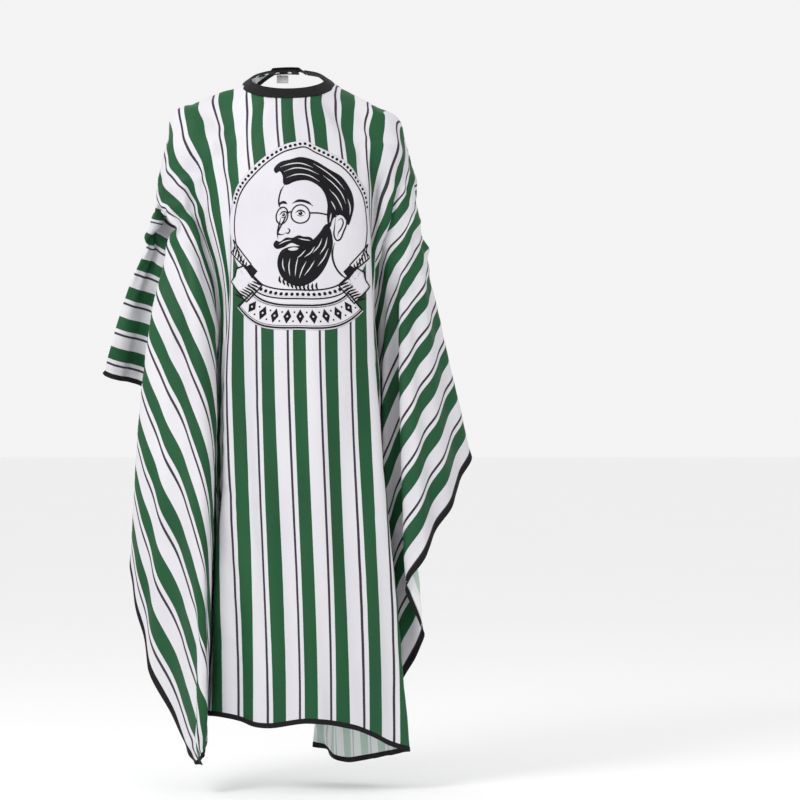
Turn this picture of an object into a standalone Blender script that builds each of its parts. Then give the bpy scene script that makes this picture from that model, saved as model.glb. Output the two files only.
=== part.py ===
"""Barber cape, hanging as it does on a person: a striped cloth on a black neck band.

Metres, +Z up, the front of the cape faces -Y. The origin is the centre of the
neck opening. The band lies on a cone whose plane is tilted, low at the throat
and high at the nape, where a tab closes it with press studs.
"""
import math

import bmesh
import bpy
import numpy as np
from mathutils import Matrix, Vector

# Neck band, measured on its cone: "along" runs from the band's upper fold down
# the slope to its lower edge, "out" is the distance from the band's mid-surface.
NECK_RADIUS = 0.0732          # the band's upper fold
BAND_WIDTH = 0.0243
BAND_SLOPE = math.radians(36.6)   # fall of the band below its own plane
BAND_TILT = math.radians(20)
BAND_PLY = 0.0006
BAND_HALF = 0.0014            # half of the band's folded thickness
BAND_FROM, BAND_TO = -192, 156    # degrees round from the throat, wearer's right is negative
STEP = 6                      # degrees between the facets of everything on the band

# Closure tab and its hinge line
TAB_FROM, TAB_TO = 157.8, 205.8
HINGE_AT = 157.1
TAB_HALF = 0.0008
TAB_LIFT = 0.0052             # height of the tab's mid-surface over the band below it
TAB_RAMP = 9.0                # degrees in which the tab climbs to that height

# Press studs: two sockets on the tab, four studs on the band for four neck sizes
STUD_AT = (180, 197, 214, 231)
SOCKET_AT = STUD_AT[:2]
SNAP_ALONG = 0.5 * BAND_WIDTH
SNAP_RADIUS = 0.0045
CAP_RADIUS = 0.0052
POST_RADIUS = 0.0020
SOCKET_BORE = 0.0027
GAP = 0.0002                  # air between a snap's flange and the cloth

# Cloth
CLOTH = 0.0010
CLOTH_FROM, CLOTH_TO = -174, 150
CLOTH_ALONG = (0.0160, 0.0200, BAND_WIDTH, 0.0256)
TAPE_RADIUS = 0.0022
TAPE_GAP = 0.0005
SPAN_ROWS = 3                 # rows of faces between two of the sections below

# Sections of the hanging cloth, each from its back left end round the front to
# its back right end, as (x, y, z). The first lies on the yoke, the last is the hem.
SECTIONS = (
    ((-0.060, 0.100, -0.008), (-0.130, 0.055, -0.034), (-0.135, -0.010, -0.042),
     (-0.092, -0.088, -0.070), (0.000, -0.120, -0.092), (0.092, -0.088, -0.072),
     (0.138, -0.010, -0.046), (0.132, 0.055, -0.038), (0.070, 0.098, -0.010)),
    ((-0.135, 0.100, -0.085), (-0.214, 0.040, -0.100), (-0.220, -0.045, -0.115),
     (-0.130, -0.128, -0.165), (0.010, -0.148, -0.185), (0.142, -0.128, -0.170),
     (0.224, -0.045, -0.130), (0.220, 0.050, -0.115), (0.150, 0.105, -0.095)),
    ((-0.262, 0.090, -0.330), (-0.316, 0.025, -0.335), (-0.262, -0.075, -0.335),
     (-0.120, -0.150, -0.335), (0.020, -0.166, -0.335), (0.145, -0.150, -0.335),
     (0.243, -0.075, -0.335), (0.292, 0.030, -0.335), (0.262, 0.150, -0.330)),
    ((-0.345, 0.080, -0.590), (-0.378, 0.010, -0.592), (-0.290, -0.100, -0.590),
     (-0.130, -0.166, -0.590), (0.030, -0.182, -0.590), (0.168, -0.166, -0.590),
     (0.272, -0.080, -0.590), (0.342, 0.040, -0.590), (0.300, 0.185, -0.580)),
    ((-0.285, 0.050, -0.865), (-0.325, -0.020, -0.865), (-0.278, -0.110, -0.865),
     (-0.145, -0.170, -0.865), (0.030, -0.190, -0.865), (0.182, -0.170, -0.865),
     (0.298, -0.080, -0.830), (0.366, 0.020, -0.760), (0.300, 0.150, -0.800)),
    ((-0.265, 0.020, -1.115), (-0.306, -0.040, -1.115), (-0.262, -0.115, -1.115),
     (-0.150, -0.175, -1.115), (0.035, -0.195, -1.115), (0.192, -0.178, -1.115),
     (0.262, -0.100, -1.100), (0.284, 0.010, -1.060), (0.240, 0.110, -1.080)),
    ((-0.180, -0.010, -1.345), (-0.212, -0.055, -1.355), (-0.190, -0.110, -1.352),
     (-0.130, -0.165, -1.290), (0.035, -0.190, -1.270), (0.182, -0.182, -1.315),
     (0.240, -0.120, -1.335), (0.246, -0.030, -1.335), (0.190, 0.060, -1.335)),
)

LABEL = (0.024, 0.0004, 0.016)    # width, thickness, height
LABEL_AT = -171               # degrees round the band, beside the nape

MATERIALS = {                 # colour, roughness, metallic
    "cloth": ((0.020, 0.135, 0.050), 0.55, 0.0),
    "tape": ((0.012, 0.012, 0.013), 0.65, 0.0),
    "interlining": ((0.80, 0.80, 0.78), 0.90, 0.0),
    "snap_metal": ((0.60, 0.60, 0.62), 0.25, 1.0),
    "snap_cap": ((0.015, 0.015, 0.016), 0.30, 0.0),
    "label": ((0.85, 0.85, 0.84), 0.70, 0.0),
}


def clear_scene():
    for thing in list(bpy.data.objects):
        bpy.data.objects.remove(thing, do_unlink=True)


def material(name):
    """A material of each part's own, from one of the kinds above."""
    colour, roughness, metallic = MATERIALS[name]
    made = bpy.data.materials.new(name)
    made.use_nodes = True
    shader = made.node_tree.nodes["Principled BSDF"]
    shader.inputs["Base Color"].default_value = (*colour, 1.0)
    shader.inputs["Roughness"].default_value = roughness
    shader.inputs["Metallic"].default_value = metallic
    return made


def add_object(name, data, kind, parent=None):
    thing = bpy.data.objects.new(name, data)
    collection.objects.link(thing)
    data.materials.append(material(kind))
    thing.parent = parent
    return thing


def add_mesh(name, bm, kind, parent=None):
    bmesh.ops.recalc_face_normals(bm, faces=bm.faces)
    data = bpy.data.meshes.new(name)
    bm.to_mesh(data)
    bm.free()
    return add_object(name, data, kind, parent)


def add_empty(name, location=(0, 0, 0), parent=None):
    empty = bpy.data.objects.new(name, None)
    collection.objects.link(empty)
    empty.location = location
    empty.parent = parent
    return empty


# The band's cone, in the coordinates of the tilted ring

def on_band(degrees, along, out=0.0):
    """A point on the band: round from the throat, down its slope, off its face."""
    turn = math.radians(degrees)
    radius = NECK_RADIUS + along * math.cos(BAND_SLOPE) + out * math.sin(BAND_SLOPE)
    height = (0.5 * BAND_WIDTH - along) * math.sin(BAND_SLOPE) + out * math.cos(BAND_SLOPE)
    return Vector((radius * math.sin(turn), -radius * math.cos(turn), height))


def band_axes(degrees):
    """The band's own directions at an angle: along the ring, down the slope, out."""
    slope = (on_band(degrees, 1.0) - on_band(degrees, 0.0)).normalized()
    out = (on_band(degrees, 0.0, 1.0) - on_band(degrees, 0.0)).normalized()
    return slope.cross(out), slope, out


def strip(name, profile, angles, lift, kind, parent):
    """A closed profile of (along, out) points carried round the band, with flat ends."""
    bm = bmesh.new()
    rings = []
    for degrees in angles:
        rise = lift(degrees)
        rings.append([bm.verts.new(on_band(degrees, along, out + rise)) for along, out in profile])
    for ring, following in zip(rings, rings[1:]):
        for i in range(len(profile)):
            j = (i + 1) % len(profile)
            bm.faces.new((ring[i], ring[j], following[j], following[i]))
    for end in (rings[0], rings[-1]):
        cap = bm.faces.new(end)
        bmesh.ops.triangulate(bm, faces=[cap])
    return add_mesh(name, bm, kind, parent)


def level(degrees):
    """The lift of a strip that stays on the band's mid-surface."""
    return 0.0


def neck_band(ring):
    """Tape folded at the neck: two plies and the fold, open at the lower edge."""
    inside = BAND_HALF - BAND_PLY
    profile = ((0.0, -BAND_HALF), (BAND_WIDTH, -BAND_HALF), (BAND_WIDTH, -inside), (BAND_PLY, -inside),
               (BAND_PLY, inside), (BAND_WIDTH, inside), (BAND_WIDTH, BAND_HALF), (0.0, BAND_HALF))
    angles = range(BAND_FROM, BAND_TO + 1, STEP)
    strip("neck_band", profile, angles, level, "tape", ring)


def band_interlining(ring):
    """The stiffening strip in the upper half of the folded tape."""
    half = 0.5 * CLOTH
    profile = ((0.0010, -half), (0.0145, -half), (0.0145, half), (0.0010, half))
    angles = range(BAND_FROM + STEP, BAND_TO, STEP)
    strip("band_interlining", profile, angles, level, "interlining", ring)


def tab_rise(degrees):
    """How far the tab has climbed above the band at an angle."""
    t = min(max((degrees - TAB_FROM) / TAB_RAMP, 0.0), 1.0)
    return TAB_LIFT * t * t * (3 - 2 * t)


def closure_tab(hinge):
    """The band's free end, which climbs over the other end and covers two studs."""
    profile = ((0.0, -TAB_HALF), (BAND_WIDTH, -TAB_HALF), (BAND_WIDTH, TAB_HALF), (0.0, TAB_HALF))
    ramp = [TAB_FROM + TAB_RAMP * i / 4 for i in range(4)]
    rest = [TAB_FROM + TAB_RAMP + (TAB_TO - TAB_FROM - TAB_RAMP) * i / 8 for i in range(9)]
    tab = strip("closure_tab", profile, ramp + rest, tab_rise, "tape", hinge)
    tab.data.transform(Matrix.Translation(-hinge.location))


def turned(name, profile, degrees, out, kind):
    """A turned piece of a press stud and its place on the band, from (radius, height) points."""
    data = bpy.data.meshes.new(name)
    closed = [(r, 0.0, h) for r, h in profile]
    edges = [(i, i + 1) for i in range(len(profile) - 1)]
    if profile[0][0] > 0:
        edges.append((len(profile) - 1, 0))
    data.from_pydata(closed, edges, [])
    piece = add_object(name, data, kind)
    screw = piece.modifiers.new("turn", "SCREW")
    screw.steps = screw.render_steps = 24
    screw.use_merge_vertices = True
    screw.merge_threshold = 1e-6
    screw.use_normal_flip = True
    along_ring, slope, normal = band_axes(degrees)
    place = Matrix((along_ring, slope, normal)).transposed().to_4x4()
    place.translation = on_band(degrees, SNAP_ALONG, out)
    return piece, place


def press_stud(number, degrees, ring):
    """A stud on the band's outer face and the eyelet that holds it from inside."""
    flange = 0.0006
    reach = 0.0017
    neck = POST_RADIUS - 0.0004
    base = BAND_HALF + GAP
    stud = ((0.0, 0.0), (SNAP_RADIUS, 0.0), (SNAP_RADIUS, flange), (neck, flange),
            (neck, flange + 0.0006), (POST_RADIUS, flange + 0.0010),
            (POST_RADIUS - 0.0002, flange + reach), (0.0, flange + reach))
    eyelet = ((0.0, 0.0), (0.0030, 0.0), (SNAP_RADIUS, 0.0003), (SNAP_RADIUS, flange), (0.0, flange))
    for name, profile, out in ((f"stud_{number}", stud, base), (f"stud_eyelet_{number}", eyelet, -base - flange)):
        piece, place = turned(name, profile, degrees, out, "snap_metal")
        piece.parent = ring
        piece.matrix_local = place


def snap_socket(number, degrees, hinge):
    """A socket under the tab and the round cap that shows on the tab's outside."""
    under = TAB_LIFT - TAB_HALF - GAP
    height = 0.0016
    socket = ((SOCKET_BORE, 0.0), (SNAP_RADIUS - 0.0003, 0.0), (SNAP_RADIUS, 0.0004),
              (SNAP_RADIUS, height), (SOCKET_BORE, height))
    cap = ((0.0, 0.0), (CAP_RADIUS, 0.0), (CAP_RADIUS, 0.0004), (CAP_RADIUS - 0.0006, 0.0008),
           (0.0025, 0.0011), (0.0, 0.0012))
    for name, profile, out, kind in (
            (f"snap_socket_{number}", socket, under - height, "snap_metal"),
            (f"snap_cap_{number}", cap, TAB_LIFT + TAB_HALF + GAP, "snap_cap")):
        piece, place = turned(name, profile, degrees, out, kind)
        piece.parent = hinge
        piece.matrix_local = Matrix.Translation(-hinge.location) @ place


# The hanging cloth

def spline(points, at):
    """Catmull-Rom through points (first axis), at fractional indices."""
    last = len(points) - 1
    at = np.clip(np.asarray(at, float), 0, last)
    low = np.minimum(at.astype(int), last - 1)
    t = (at - low).reshape((-1,) + (1,) * (points.ndim - 1))
    a, b = points[np.maximum(low - 1, 0)], points[low]
    c, d = points[low + 1], points[np.minimum(low + 2, last)]
    return 0.5 * (2 * b + (c - a) * t + (2 * a - 5 * b + 4 * c - d) * t ** 2
                  + (3 * b - a - 3 * c + d) * t ** 3)


def cloth_grid(tilt):
    """Rows of points from inside the neck band down to the hem."""
    angles = list(range(CLOTH_FROM, CLOTH_TO + 1, STEP))
    on_ring = [[tilt @ on_band(degrees, along) for degrees in angles] for along in CLOTH_ALONG]
    neck = np.array(on_ring)
    around = np.linspace(0, len(SECTIONS[0]) - 1, len(angles))
    sections = np.array([spline(np.array(section), around) for section in SECTIONS])
    down = np.concatenate([neck[-1:], sections])
    rows = np.linspace(0, len(sections), len(sections) * SPAN_ROWS + 1)[1:]
    return np.concatenate([neck, spline(down, rows)])


def cape_cloth(grid):
    """One thin sheet, open at the back, with the neckline held in the band."""
    rows, columns = grid.shape[:2]
    bm = bmesh.new()
    verts = [[bm.verts.new(point) for point in row] for row in grid]
    for j in range(rows - 1):
        for i in range(columns - 1):
            bm.faces.new((verts[j][i], verts[j + 1][i], verts[j + 1][i + 1], verts[j][i + 1]))
    cape = add_mesh("cape_cloth", bm, "cloth")
    thick = cape.modifiers.new("thickness", "SOLIDIFY")
    thick.thickness = CLOTH
    thick.offset = 0.0
    return cape


def edge_path(grid):
    """The cloth's free edge, moved outwards by the tape's radius and its gap."""
    body = grid[len(CLOTH_ALONG):]
    offset = TAPE_RADIUS + TAPE_GAP

    def moved(edge, inner):
        along = np.gradient(edge, axis=0)
        along /= np.linalg.norm(along, axis=1, keepdims=True)
        outward = edge - inner
        outward -= along * np.sum(outward * along, axis=1, keepdims=True)
        return edge + outward * offset / np.linalg.norm(outward, axis=1, keepdims=True)

    left, hem, right = body[:, 0], body[-1], body[:, -1]
    left_out, hem_out, right_out = moved(left, body[:, 1]), moved(hem, body[-2]), moved(right, body[:, -2])
    left_corner = left_out[-1:] + hem_out[:1] - hem[:1]
    right_corner = right_out[-1:] + hem_out[-1:] - hem[-1:]
    return np.concatenate([left_out, left_corner, hem_out, right_corner, right_out[::-1]])


def edge_binding(grid):
    """Black tape along both back edges, both sides and the hem, as one length."""
    path = edge_path(grid)
    curve = bpy.data.curves.new("edge_binding", "CURVE")
    curve.dimensions = "3D"
    curve.bevel_depth = TAPE_RADIUS
    curve.bevel_resolution = 1
    curve.use_fill_caps = True
    line = curve.splines.new("POLY")
    line.points.add(len(path) - 1)
    for point, place in zip(line.points, path):
        point.co = (*place, 1.0)
    return add_object("edge_binding", curve, "tape")


def care_label(tilt):
    """A blank sewn-in label that hangs from the band's lower edge at the nape."""
    bm = bmesh.new()
    bmesh.ops.create_cube(bm, size=1.0)
    bmesh.ops.scale(bm, vec=Vector(LABEL), verts=bm.verts)
    label = add_mesh("care_label", bm, "label")
    edge = tilt @ on_band(LABEL_AT, BAND_WIDTH, -BAND_HALF)
    label.location = edge - Vector((0, 0, 0.5 * LABEL[2] + 0.0008))
    label.rotation_euler = (0, 0, math.radians(LABEL_AT))
    return label


def build():
    ring = add_empty("neck_ring")
    ring.rotation_euler = (BAND_TILT, 0, 0)
    tilt = Matrix.Rotation(BAND_TILT, 3, "X")
    hinge = add_empty("tab_hinge", on_band(HINGE_AT, SNAP_ALONG), ring)

    neck_band(ring)
    band_interlining(ring)
    closure_tab(hinge)
    for number, degrees in enumerate(STUD_AT, 1):
        press_stud(number, degrees, ring)
    for number, degrees in enumerate(SOCKET_AT, 1):
        snap_socket(number, degrees, hinge)

    grid = cloth_grid(tilt)
    cape_cloth(grid)
    edge_binding(grid)
    care_label(tilt)


clear_scene()
collection = bpy.data.collections.new("barber_cape")
bpy.context.scene.collection.children.link(collection)
build()
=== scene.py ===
"""Barber cape: the printed cloth hangs from its neck band as on a person."""
import math

import bmesh
import bpy
import numpy as np
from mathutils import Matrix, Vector
from mathutils.geometry import delaunay_2d_cdt


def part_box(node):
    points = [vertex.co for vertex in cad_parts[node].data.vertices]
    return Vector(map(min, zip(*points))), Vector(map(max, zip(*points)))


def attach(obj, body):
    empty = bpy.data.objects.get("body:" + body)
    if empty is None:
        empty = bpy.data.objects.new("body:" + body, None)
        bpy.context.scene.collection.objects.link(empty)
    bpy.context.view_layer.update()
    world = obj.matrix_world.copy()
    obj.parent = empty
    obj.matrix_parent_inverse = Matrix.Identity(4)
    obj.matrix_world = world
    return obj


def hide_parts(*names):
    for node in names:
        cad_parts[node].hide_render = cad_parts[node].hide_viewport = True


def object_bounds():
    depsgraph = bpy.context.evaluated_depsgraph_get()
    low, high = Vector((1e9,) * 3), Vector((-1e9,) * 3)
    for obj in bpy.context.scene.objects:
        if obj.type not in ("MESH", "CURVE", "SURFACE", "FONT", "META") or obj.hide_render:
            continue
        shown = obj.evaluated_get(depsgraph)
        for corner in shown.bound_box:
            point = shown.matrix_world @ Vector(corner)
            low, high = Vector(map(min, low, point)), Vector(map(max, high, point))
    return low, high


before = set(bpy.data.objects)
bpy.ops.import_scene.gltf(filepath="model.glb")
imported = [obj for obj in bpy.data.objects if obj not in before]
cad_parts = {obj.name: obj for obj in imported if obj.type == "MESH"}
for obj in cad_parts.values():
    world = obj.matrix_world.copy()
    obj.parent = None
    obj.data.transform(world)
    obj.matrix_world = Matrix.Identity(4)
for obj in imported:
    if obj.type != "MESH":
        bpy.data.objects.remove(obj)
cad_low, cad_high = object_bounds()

CAPE, TAB = "cape", "tab"
cloth_low, cloth_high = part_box("cape_cloth")
band_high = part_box("neck_band")[1]
scene = bpy.context.scene
collection = scene.collection

# Neck band, as the CAD has it: a cone whose plane is tilted, low at the throat
BAND_WIDTH = 0.0243
BAND_SLOPE = math.radians(36.6)
BAND_TILT = math.radians(20)
BAND_HALF = 0.0014
NECK_RADIUS = band_high.x - BAND_WIDTH * math.cos(BAND_SLOPE) - BAND_HALF * math.sin(BAND_SLOPE)

# The cape as it is cut. "u" runs across the cape from its middle, to the wearer's
# left; "v" runs from the back edge over the neck hole and down to the front hem.
CUT_WIDTH, CUT_LENGTH = 1.60, 1.40
NECK_FROM_EDGE = 0.085        # v of the neck hole's centre
NECK_CUT = 0.090              # its radius
CORNER = 0.055                # radius of the cut's corners
TAPE_WIDTH = 0.0085
CLOTH_THICK = 0.0005
GRID = 0.0145

# Where the cloth bends over the shoulders, and how it falls from there. A row is
# the angle on the cut below the shoulder line, then the lean outwards and the lean
# backwards of the fold there, in degrees, nearer the shoulder and further down,
# and how much of its length shows as length further down.
SHOULDER_U = 0.235
SHOULDER_V = {-1: 0.182, 1: 0.165}
SHOULDER = {-1: Vector((0.570 * cloth_low.x, 0.005, -0.057)),
            1: Vector((0.578 * cloth_high.x, 0.005, -0.074))}
BEND_FROM, BEND_TO = 0.25, 0.75    # distances from the shoulder between which the lean changes
LAST_FOLD = {-1: 82.0, 1: 73.0}    # angle of the fold next to the front panel
STEEPENING = 0.26                  # length of cloth in which the slope turns vertical

# The simulation: its frames, and how firmly it holds a point where drape() puts it
SETTLE_FRAMES = 44
HOLD_CLOTH, HOLD_EDGE, HOLD_BEHIND, HOLD_FOLD = 0.30, 0.42, 0.12, 0.50
HELD_FOLDS = ((-1, 52.0), (-1, 66.0), (-1, 0.0), (1, 35.0), (1, 50.0), (1, 56.5))
FALL = {
    -1: ((-90, 4, 42, 4, 42, 1), (-60, -5, 40, -5, 40, 1), (-30, -13, 26, -13, 22, 1),
         (-12, -17.5, 14, -17.5, 12, 1), (0, -16.5, 8, -16.5, 8, 1), (11, -9.5, 13, -9.5, 12, .98),
         (31, 5, 5, 4, 12, 1), (52, -9.5, -9.5, -4, 12, 1), (60, -1.5, -12, -4, 5, 1),
         (66, 4, -15, 1.0, -2, .99), (70, 8.5, -14, -0.2, -3, .99), (82, 14.5, -4, -7, 7, .99)),
    1: ((-90, 0, 42, 0, 42, 1), (-60, 3, 38, 3, 38, 1), (-25, 0, 26, 0, 26, 1),
        (-8, -9, 18, -9, 18, 1), (0, -7, 17, -7, 16, 1), (15, 1, 12, 1, 12, 1),
        (35, 13.4, 3, 13.8, 4, 1), (50, 3.5, -6.5, 4.8, -8, 1), (53, 0.5, -5, 1.5, -7, 1),
        (56.5, 2.6, -3.5, 5.0, -5.5, 1), (60, -0.5, -1, 1.6, -4, .97),
        (66, -3.5, 2, 0.4, 0.5, .92), (73, -10, 4, -6.5, 3, .99)),
}


def smooth(t):
    t = np.clip(t, 0, 1)
    return t * t * (3 - 2 * t)


def leaning(outwards, backwards):
    """Unit vector down the cloth, from its lean in degrees."""
    outwards, backwards = np.radians(outwards), np.radians(backwards)
    way = np.stack([np.tan(outwards), np.tan(backwards), -np.ones_like(outwards)], -1)
    return way / np.linalg.norm(way, axis=-1, keepdims=True)


def from_neck(u, v):
    """Distance on the cut from the neckline."""
    return np.hypot(u, v - NECK_FROM_EDGE) - NECK_CUT


def from_shoulder(side, u, v):
    """Place on the cut from a shoulder point: across, down, then angle and distance."""
    across, down = side * u - SHOULDER_U, v - SHOULDER_V[side]
    return across, down, np.arctan2(down, np.maximum(across, 1e-9)), np.hypot(across, down)


def fan(side, angle, reach):
    """The cloth that falls in folds from one shoulder."""
    keys = np.array(FALL[side], float)
    angle = np.clip(angle, keys[0, 0], keys[-1, 0])
    at = [np.interp(angle, keys[:, 0], keys[:, column]) for column in range(1, 6)]
    t = np.clip((reach - BEND_FROM) / (BEND_TO - BEND_FROM), 0, 1)
    beyond = (BEND_TO - BEND_FROM) * (t ** 3 - 0.5 * t ** 4) + np.maximum(reach - BEND_TO, 0)
    near = leaning(at[0], at[1]) * (reach - beyond)[..., None]
    far = leaning(at[2], at[3]) * (beyond * at[4])[..., None]
    return np.array(SHOULDER[side]) + near + far


def panel(u, v, steps=40):
    """The cloth between the shoulders, in front of the body and behind it."""
    side = np.clip(np.abs(u) / SHOULDER_U, 0, 1)
    top = np.where(u < 0, SHOULDER_V[-1], SHOULDER_V[1])
    down = v - NECK_FROM_EDGE - (top - NECK_FROM_EDGE) * smooth((side - 0.3) / 0.7)
    drop = np.clip((np.abs(u) - 0.085) / (SHOULDER_U - 0.085), 0, 1) ** 1.5
    drop = np.where(u < 0, SHOULDER[-1].z, SHOULDER[1].z) * drop
    start = np.radians(22 + np.where(down > 0, 56, 24) * side ** 1.5)
    curved = np.minimum(np.abs(down), STEEPENING)
    y, z = np.zeros_like(u), np.zeros_like(u)
    for step in range(steps):
        steep = start + (math.pi / 2 - start) * smooth((step + 0.5) / steps * curved / STEEPENING)
        y += np.cos(steep) * curved / steps
        z += np.sin(steep) * curved / steps
    z += np.maximum(np.abs(down) - STEEPENING, 0)
    end = np.where(u < 0, -SHOULDER[-1].x, SHOULDER[1].x)
    spread = NECK_CUT + (np.abs(u) - NECK_CUT) * (end - NECK_CUT) / (SHOULDER_U - NECK_CUT)
    spread = spread + (np.abs(u) - spread) * smooth((v - 0.3) / 0.9)
    x = np.where(np.abs(u) < NECK_CUT, u, np.sign(u) * spread)
    x = x + 0.026 * smooth((v - 0.15) / 0.3) + 0.024 * smooth((v - 0.6) / 0.8)
    y = np.where(down > 0, -y - 0.03 * smooth((v - 0.5) / 0.9), y)
    z = z + np.where(down > 0, 0.012 * smooth(1 - np.abs(u) / 0.2), 0)
    return np.stack([x, y, drop - z], -1)


def on_band(turn, along, out=0.0):
    """A point on the neck band, by its angle from the throat in radians."""
    radius = NECK_RADIUS + along * math.cos(BAND_SLOPE) + out * math.sin(BAND_SLOPE)
    height = (0.5 * BAND_WIDTH - along) * math.sin(BAND_SLOPE) + out * math.cos(BAND_SLOPE)
    x, y = radius * np.sin(turn), -radius * np.cos(turn)
    return np.stack([x, y * math.cos(BAND_TILT) - height * math.sin(BAND_TILT),
                     y * math.sin(BAND_TILT) + height * math.cos(BAND_TILT)], -1)


def ridge(side, v):
    """u of the fold where the front panel turns back to the cloth of that side."""
    return -0.100 - 0.076 * v if side < 0 else 0.130 + 0.046 * v


def neck_turn(u, v):
    """Angle on the band where this part of the neckline is sewn."""
    turn = np.arctan2(u, v - NECK_FROM_EDGE)
    return turn - np.radians(12) * (np.abs(turn) / math.radians(161)) ** 2


def drape(u, v):
    """Where a point of the cut hangs, before the simulation."""
    place = panel(np.clip(u, -SHOULDER_U, SHOULDER_U), v)
    for side, last in LAST_FOLD.items():
        across, _, angle, reach = from_shoulder(side, u, v)
        place = np.where((across > 0)[..., None], fan(side, np.degrees(angle), reach), place)
        below = np.maximum(v, SHOULDER_V[side] + 1e-3)
        reach = (below - SHOULDER_V[side]) / math.sin(math.radians(last))
        u_valley = side * (SHOULDER_U + reach * math.cos(math.radians(last)))
        valley = fan(side, np.full(v.shape, last), reach)
        u_ridge = ridge(side, below)
        top = panel(u_ridge, below)
        t = (u - u_ridge) / (u_valley - u_ridge)
        inside = (t > 0) & (t < 1) & (v > SHOULDER_V[side])
        fold = top + (valley - top) * np.clip(t, 0, 1)[..., None]
        place = place + (fold - place) * (smooth((v - 0.20) / 0.25) * inside)[..., None]
    out = from_neck(u, v)
    sewn = on_band(neck_turn(u, v), 0.016 + 0.9 * out)
    near = smooth(1 - (out - 0.012) / 0.05)[..., None]
    return place * (1 - near) + sewn * near


def cut_lines(length, start):
    """Grid lines along one side: the two taped edges, and even cells between."""
    cells = round((length - 2 * TAPE_WIDTH) / GRID)
    inner = start + TAPE_WIDTH + (length - 2 * TAPE_WIDTH) * np.arange(cells + 1) / cells
    return np.concatenate([[start], inner, [start + length]])


def round_corners(u, v):
    """Brings the grid's four corners onto an arc."""
    for su in (-1, 1):
        for sv in (-1, 1):
            cu = su * (0.5 * CUT_WIDTH - CORNER)
            cv = CORNER if sv < 0 else CUT_LENGTH - CORNER
            du, dv = su * (u - cu), sv * (v - cv)
            here = (du > 0) & (dv > 0)
            k = np.where(here, np.maximum(du, dv) / np.maximum(np.hypot(du, dv), 1e-9), 1.0)
            u = np.where(here, cu + su * du * k, u)
            v = np.where(here, cv + sv * dv * k, v)
    return u, v


lines_u, lines_v = cut_lines(CUT_WIDTH, -0.5 * CUT_WIDTH), cut_lines(CUT_LENGTH, 0.0)
ROWS, COLUMNS = len(lines_v), len(lines_u)
cut_u, cut_v = round_corners(*np.meshgrid(lines_u, lines_v))
cell_u, cell_v = (0.25 * (at[1:, 1:] + at[1:, :-1] + at[:-1, 1:] + at[:-1, :-1]) for at in (cut_u, cut_v))
cell_kept = np.hypot(cell_u, cell_v - NECK_FROM_EDGE) > NECK_CUT
corner_of_kept = np.zeros((ROWS, COLUMNS), int)
for down in (0, 1):
    for over in (0, 1):
        corner_of_kept[down:ROWS - 1 + down, over:COLUMNS - 1 + over] += cell_kept
distance = np.hypot(cut_u, cut_v - NECK_FROM_EDGE)
around_hole = (distance < NECK_CUT + 2 * GRID) & (corner_of_kept > 0)
hole_edge = around_hole & (corner_of_kept < np.where((np.arange(ROWS) == 0)[:, None], 2, 4))
pull = np.where(hole_edge, NECK_CUT / np.maximum(distance, 1e-9), 1.0)
cut_u, cut_v = cut_u * pull, NECK_FROM_EDGE + (cut_v - NECK_FROM_EDGE) * pull
number = np.arange(ROWS * COLUMNS).reshape(ROWS, COLUMNS)
quads = np.stack([number[:-1, :-1], number[1:, :-1], number[1:, 1:], number[:-1, 1:]], -1)[cell_kept]
used = np.unique(quads)
renumber = np.full(ROWS * COLUMNS, -1)
renumber[used] = np.arange(len(used))
quads = renumber[quads]
flat_u, flat_v = cut_u.ravel()[used], cut_v.ravel()[used]


def put(target, **values):
    for name, value in values.items():
        setattr(target, name, value)


def add_object(name, data):
    thing = bpy.data.objects.new(name, data)
    collection.objects.link(thing)
    return thing


def new_mesh(name, points, faces):
    mesh = bpy.data.meshes.new(name)
    mesh.from_pydata(np.asarray(points, float).tolist(), [], [list(map(int, f)) for f in faces])
    mesh.update()
    return add_object(name, mesh)


def from_bmesh(name, bm):
    mesh = bpy.data.meshes.new(name)
    bm.to_mesh(mesh)
    bm.free()
    return add_object(name, mesh)


def discard(thing):
    mesh = thing.data
    bpy.data.objects.remove(thing)
    bpy.data.meshes.remove(mesh)


def held_at(u, v):
    """How firmly the simulation holds a point where drape() puts it."""
    hold = np.full(u.shape, HOLD_CLOTH)
    edge = np.minimum(0.5 * CUT_WIDTH - np.abs(u), CUT_LENGTH - v)
    hold = np.where(edge < 0.05, HOLD_EDGE, hold)
    for side in (-1, 1):
        across, _, angle, _ = from_shoulder(side, u, v)
        angle = np.degrees(angle)
        hold = np.where((across > 0) & (angle < -6), HOLD_BEHIND, hold)
        if side < 0:
            hold = np.where((across > 0) & (np.abs(angle - 3) < 11), HOLD_EDGE, hold)
    for side, degrees in HELD_FOLDS:
        across, down = from_shoulder(side, u, v)[:2]
        turn = math.radians(degrees)
        along = across * math.cos(turn) + down * math.sin(turn)
        away = np.abs(down * math.cos(turn) - across * math.sin(turn))
        hold = np.where((along > 0.35) & (away < 0.02), HOLD_FOLD, hold)
    return np.where(from_neck(u, v) < 0.014, 1.0, hold)


def ball(name, centre, radii):
    bm = bmesh.new()
    bmesh.ops.create_uvsphere(bm, u_segments=32, v_segments=20, radius=1.0)
    for vert in bm.verts:
        vert.co = Vector(centre) + Vector([c * r for c, r in zip(vert.co, radii)])
    return from_bmesh(name, bm)


def limb(name, start, end, radius_start, radius_end):
    start, end = Vector(start), Vector(end)
    turn = (end - start).to_track_quat("Z", "Y")
    thing = ball(name, (0, 0, 0), (1, 1, 1))
    for vert in thing.data.vertices:
        low = vert.co.z < 0
        vert.co = (start if low else end) + turn @ (vert.co * (radius_start if low else radius_end))
    return thing


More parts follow.
